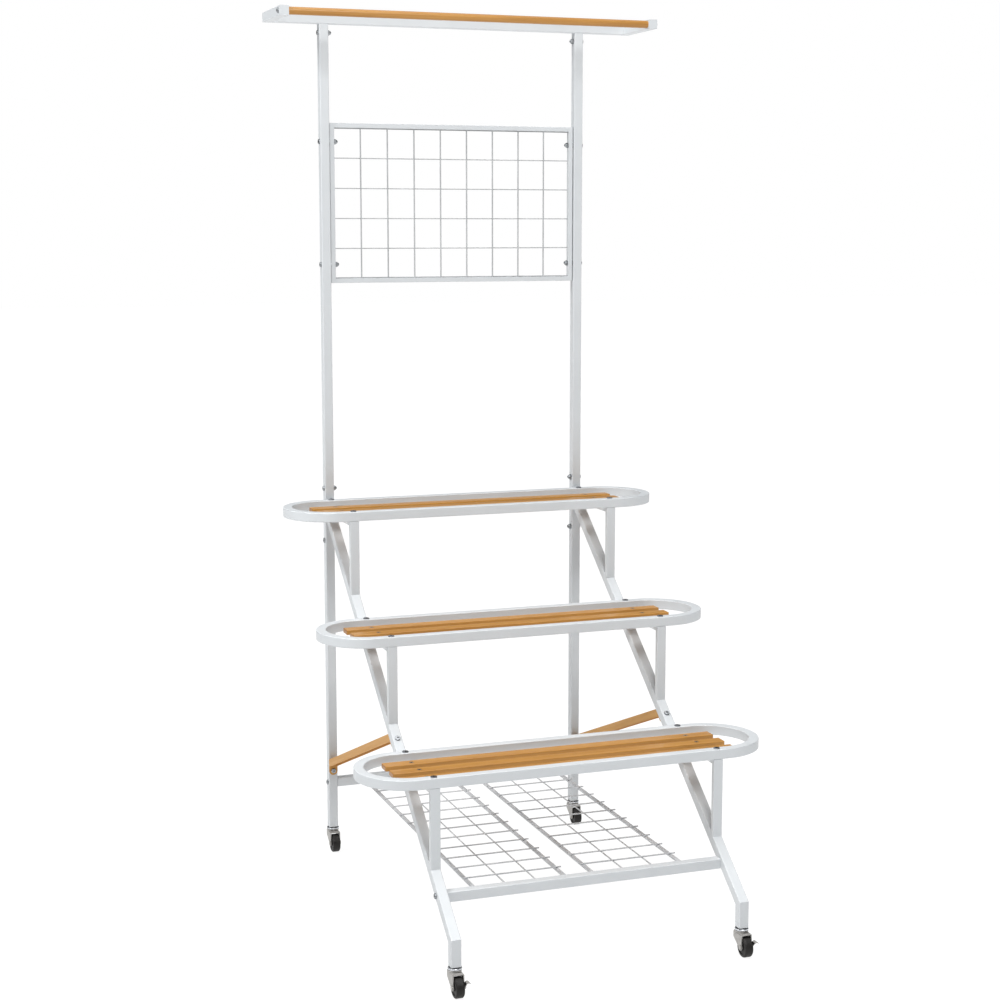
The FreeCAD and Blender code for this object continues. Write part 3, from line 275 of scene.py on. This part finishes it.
def plated(name, light, dark, roughness, metal=BRIGHT_METAL):
    """Plated steel with cloudy tarnish, fine scratches and painted shade deep in gaps, less metallic
    where the plating is dull.
    """
    material, tree, shader = start_material(name)
    clouds = noise(tree, place(tree, EVEN), TARNISH_CLOUDS)
    scratches = noise(tree, place(tree, SCRATCHES), detail=FINE_DETAIL)
    bare = ramp(tree, clouds, dark, light)
    # Painted shade: the plating's colour goes near-black deep in narrow gaps
    tree.links.new(with_painted_gap_shade(tree, bare, clouds), shader.inputs["Base Color"])
    tree.links.new(spread(tree, clouds, roughness), shader.inputs["Roughness"])
    tree.links.new(bump(tree, scratches, SCRATCH_STRENGTH, SCRATCH_DEPTH), shader.inputs["Normal"])
    shader.inputs["Metallic"].default_value = metal
    return material


def moulded(name, light, dark, roughness):
    """Moulded black plastic or rubber with a fine grain, a little dust and painted shade deep in gaps.
    """
    material, tree, shader = start_material(name)
    where = place(tree, EVEN)
    dust = noise(tree, where, DUST_CLOUDS, detail=RICH_DETAIL)
    grain = noise(tree, where, MOULD_GRAINS, detail=FINE_DETAIL)
    bare = ramp(tree, dust, dark, light)
    # Painted shade: the colour goes near-black deep in narrow gaps
    tree.links.new(with_painted_gap_shade(tree, bare, dust), shader.inputs["Base Color"])
    tree.links.new(spread(tree, dust, roughness), shader.inputs["Roughness"])
    tree.links.new(bump(tree, grain, GRAIN_STRENGTH, GRAIN_DEPTH), shader.inputs["Normal"])
    shader.inputs["Specular IOR Level"].default_value = MOULD_GLOSS
    return material


def dress(names, material):
    """Gives CAD nodes a material."""
    for name in names:
        mesh = NODES[name].data
        mesh.materials.clear()
        mesh.materials.append(material)


def starting(*prefixes):
    """Names of the CAD nodes that start with one of these words."""
    return [name for name in NODES if name.startswith(prefixes)]


def dress_frame():
    """Materials of the tubes, wires, wood and braces."""
    tubes = starting("post_lower", "post_middle", "post_upper", "leg_", "shelf_rim", "shelf_bracket",
                     "hanger_arm", "hanger_back", "trellis_stile", "trellis_rail", "crossbar_front",
                     "crossbar_rear")
    dress(tubes, powder_coat("powder_coat", COAT_LIGHT, COAT_DARK))
    dress(starting("mesh_panel"), powder_coat("mesh_coat", MESH_LIGHT, MESH_DARK))
    dress(starting("trellis_grid"), powder_coat("wire_coat", WIRE_LIGHT, WIRE_DARK))
    dress(starting("shelf_slats", "hanger_rod"), wood("varnished_wood"))
    dress(starting("brace_left", "brace_right"), brace_coat("brace_coat"))


def dress_hardware():
    """Materials of the fasteners, plugs, sleeves and casters."""
    bright = starting("post_bolts", "trellis_bolts", "trellis_spacers", "brace_bolts", "acorn_nuts",
                      "end_bolts", "tube_sleeves")
    dress(bright, plated("zinc", ZINC_LIGHT, ZINC_DARK, ZINC_ROUGHNESS))
    dress(starting("caster_stems"), plated("race_zinc", RACE_LIGHT, RACE_DARK, RACE_ROUGHNESS))
    fork_zinc = plated("fork_zinc", FORK_LIGHT, FORK_DARK, FORK_ROUGHNESS, DULL_METAL)
    dress(starting("caster_fork", "caster_brake"), fork_zinc)
    dark_zinc = plated("dark_zinc", BOLT_LIGHT, BOLT_DARK, BOLT_ROUGHNESS)
    dress(starting("rim_bolts", "slat_screws"), dark_zinc)
    nylon = moulded("black_nylon", NYLON_LIGHT, NYLON_DARK, NYLON_ROUGHNESS)
    dress(starting("caster_inserts", "crossbar_plugs"), nylon)
    dress(starting("caster_wheel"), moulded("wheel_black", TYRE_LIGHT, TYRE_DARK, TYRE_ROUGHNESS))


def make_floor():
    """Plain pale floor under the stand, with a glow of its own."""
    bpy.ops.mesh.primitive_plane_add(size=FLOOR_SIZE)
    floor = bpy.context.object
    floor.name = "floor"
    material, _, shader = start_material("floor")
    shader.inputs["Base Color"].default_value = FLOOR_COLOUR
    shader.inputs["Roughness"].default_value = FLOOR_ROUGHNESS
    shader.inputs["Specular IOR Level"].default_value = 0.0
    shader.inputs["Emission Color"].default_value = WHITE
    shader.inputs["Emission Strength"].default_value = FLOOR_GLOW
    floor.data.materials.append(material)


def make_sky():
    """Sky that looks white and gives a little light from all sides."""
    world = bpy.data.worlds.new("studio")
    bpy.context.scene.world = world
    world.use_nodes = True
    tree = world.node_tree
    tree.nodes.clear()
    seen = add(tree, "ShaderNodeBackground", {"Color": WHITE, "Strength": SKY_SHOWN})
    lit = add(tree, "ShaderNodeBackground", {"Color": SKY_LIGHT_COLOUR, "Strength": SKY_LIGHT})
    path = add(tree, "ShaderNodeLightPath")
    choose = add(tree, "ShaderNodeMixShader")
    output = add(tree, "ShaderNodeOutputWorld")
    tree.links.new(path.outputs["Is Camera Ray"], choose.inputs["Fac"])
    tree.links.new(lit.outputs["Background"], choose.inputs[1])
    tree.links.new(seen.outputs["Background"], choose.inputs[2])
    tree.links.new(choose.outputs["Shader"], output.inputs["Surface"])


def post_middle():
    """Point midway between the posts: the middle of the bar that joins them."""
    low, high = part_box("crossbar_rear")
    return (low + high) / 2


def make_top_light():
    """Broad soft light from straight above."""
    data = bpy.data.lights.new("top", "SUN")
    data.energy = TOP_STRENGTH
    data.angle = math.radians(TOP_SOFTNESS)
    light = bpy.data.objects.new("top", data)
    bpy.context.scene.collection.objects.link(light)


def make_lamps():
    """Large square lamps high in front of the stand and on its left, aimed at the stand."""
    middle = post_middle()
    for name, (power, (x, y, height)) in LAMPS.items():
        data = bpy.data.lights.new(name, "AREA")
        data.energy = power
        data.size = LAMP_SIZE
        lamp = bpy.data.objects.new(name, data)
        lamp.location = (middle.x + x, middle.y + y, height)
        aim = Vector((middle.x, middle.y, LAMP_AIM_HEIGHT)) - lamp.location
        lamp.rotation_euler = aim.to_track_quat("-Z", "Y").to_euler()
        lamp.visible_camera = False
        bpy.context.scene.collection.objects.link(lamp)


def make_camera():
    """Camera at the photograph's viewing angle."""
    data = bpy.data.cameras.new("camera")
    data.lens = CAMERA_LENS
    data.sensor_width = CAMERA_SENSOR
    camera = bpy.data.objects.new("camera", data)
    x, y, height = CAMERA_FROM_POSTS
    middle = post_middle()
    camera.location = (middle.x + x, middle.y + y, height)
    camera.rotation_euler = (math.radians(CAMERA_TILT), 0.0, math.radians(CAMERA_TURN))
    bpy.context.scene.collection.objects.link(camera)
    bpy.context.scene.camera = camera


bpy.context.scene.view_settings.view_transform = "Standard"
dress_frame()
dress_hardware()
make_floor()
make_sky()
make_top_light()
make_lamps()
make_camera()
